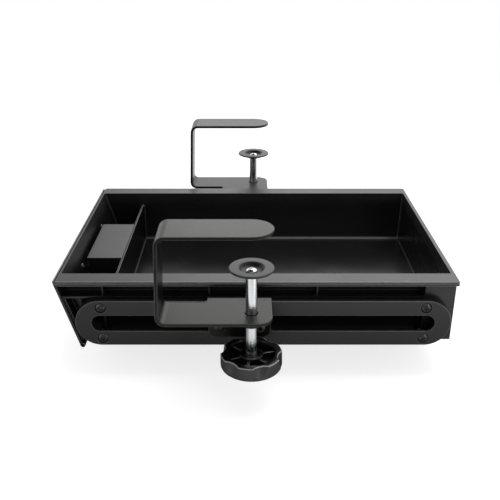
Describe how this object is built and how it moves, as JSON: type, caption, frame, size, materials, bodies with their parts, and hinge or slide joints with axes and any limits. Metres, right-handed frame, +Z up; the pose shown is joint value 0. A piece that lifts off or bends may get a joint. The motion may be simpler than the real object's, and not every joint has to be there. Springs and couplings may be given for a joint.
{
  "type": "clamp-on under-desk drawer",
  "caption": "Shallow black drawer with a pen space and finger pull that hangs on slotted side rails from screw clamps gripping a desk top's edge.",
  "frame": {"origin": "middle of the part's footprint, at the lower edge of the front panel", "axes": "+X to the drawer's rear, so the pull side is -X; +Y to the left-hand clamp; +Z up to the desk top"},
  "size_m": [0.369, 0.397, 0.1405],
  "materials": {
    "tub_plastic": "satin moulded",
    "rail_plastic": "fine matt",
    "powder_coat": "fine texture powder coat",
    "black_screw": "black oxide",
    "zinc_steel": "zinc plated",
    "bright_steel": "bright plated",
    "nylon": "satin",
    "pad_plastic": "satin",
    "knob_plastic": "semi-gloss moulded"
  },
  "bodies": {
    "drawer": {"tray_tub": "tub_plastic", "front_panel": "tub_plastic", "pull_cup": "tub_plastic", "divider": "tub_plastic", "cup_screws": "black_screw", "right_rail": "rail_plastic", "right_rail_screws": "black_screw", "left_rail": "rail_plastic", "left_rail_screws": "black_screw"},
    "right_clamp": {"right_clamp_bracket": "powder_coat", "right_weld_nut": "powder_coat", "right_axle_bolts": "black_screw", "right_axle_washers": "zinc_steel", "right_lock_nuts": "zinc_steel"},
    "right_front_roller": {"right_front_roller": "nylon"},
    "right_rear_roller": {"right_rear_roller": "nylon"},
    "right_pad": {"right_pad": "pad_plastic"},
    "right_screw": {"right_clamp_screw": "bright_steel", "right_pad_screw": "bright_steel", "right_jam_nut": "zinc_steel", "right_knob": "knob_plastic"},
    "left_clamp": {"left_clamp_bracket": "powder_coat", "left_weld_nut": "powder_coat", "left_axle_bolts": "black_screw", "left_axle_washers": "zinc_steel", "left_lock_nuts": "zinc_steel"},
    "left_front_roller": {"left_front_roller": "nylon"},
    "left_rear_roller": {"left_rear_roller": "nylon"},
    "left_pad": {"left_pad": "pad_plastic"},
    "left_screw": {"left_clamp_screw": "bright_steel", "left_pad_screw": "bright_steel", "left_jam_nut": "zinc_steel", "left_knob": "knob_plastic"}
  },
  "joints": [
    {"name": "right_clamp_slide", "type": "slide", "parent": "drawer", "child": "right_clamp", "axis": [1, 0, 0], "range_m": [-0.10965, 0.15275]},
    {"name": "right_front_roller_spin", "type": "hinge", "parent": "right_clamp", "child": "right_front_roller", "pos_m": [-0.03265, -0.136, 0.03], "axis": [0, -1, 0], "range_deg": [-828, 1153]},
    {"name": "right_rear_roller_spin", "type": "hinge", "parent": "right_clamp", "child": "right_rear_roller", "pos_m": [0.00315, -0.136, 0.03], "axis": [0, -1, 0], "range_deg": [-828, 1153]},
    {"name": "right_pad_lift", "type": "slide", "parent": "right_clamp", "child": "right_pad", "axis": [0, 0, 1], "range_m": [-0.0361, 0.0281]},
    {"name": "right_screw_spin", "type": "hinge", "parent": "right_pad", "child": "right_screw", "pos_m": [-0.0043, -0.1715, 0.1055], "axis": [0, 0, 1], "range_deg": [-8640, 6720]},
    {"name": "left_clamp_slide", "type": "slide", "parent": "drawer", "child": "left_clamp", "axis": [1, 0, 0], "range_m": [-0.11435, 0.14805]},
    {"name": "left_front_roller_spin", "type": "hinge", "parent": "left_clamp", "child": "left_front_roller", "pos_m": [-0.02795, 0.136, 0.03], "axis": [0, -1, 0], "range_deg": [-864, 1118]},
    {"name": "left_rear_roller_spin", "type": "hinge", "parent": "left_clamp", "child": "left_rear_roller", "pos_m": [0.00785, 0.136, 0.03], "axis": [0, -1, 0], "range_deg": [-864, 1118]},
    {"name": "left_pad_lift", "type": "slide", "parent": "left_clamp", "child": "left_pad", "axis": [0, 0, 1], "range_m": [-0.0321, 0.0321]},
    {"name": "left_screw_spin", "type": "hinge", "parent": "left_pad", "child": "left_screw", "pos_m": [0.0004, 0.1715, 0.1015], "axis": [0, 0, 1], "range_deg": [-7680, 7680]}
  ],
  "couplings": [
    {"joint": "right_front_roller_spin", "follows": "right_clamp_slide", "rad_per_m": 131.58},
    {"joint": "right_rear_roller_spin", "follows": "right_clamp_slide", "rad_per_m": 131.58},
    {"joint": "right_pad_lift", "follows": "right_screw_spin", "m_per_rad": 0.00023873},
    {"joint": "left_front_roller_spin", "follows": "left_clamp_slide", "rad_per_m": 131.58},
    {"joint": "left_rear_roller_spin", "follows": "left_clamp_slide", "rad_per_m": 131.58},
    {"joint": "left_pad_lift", "follows": "left_screw_spin", "m_per_rad": 0.00023873}
  ]
}
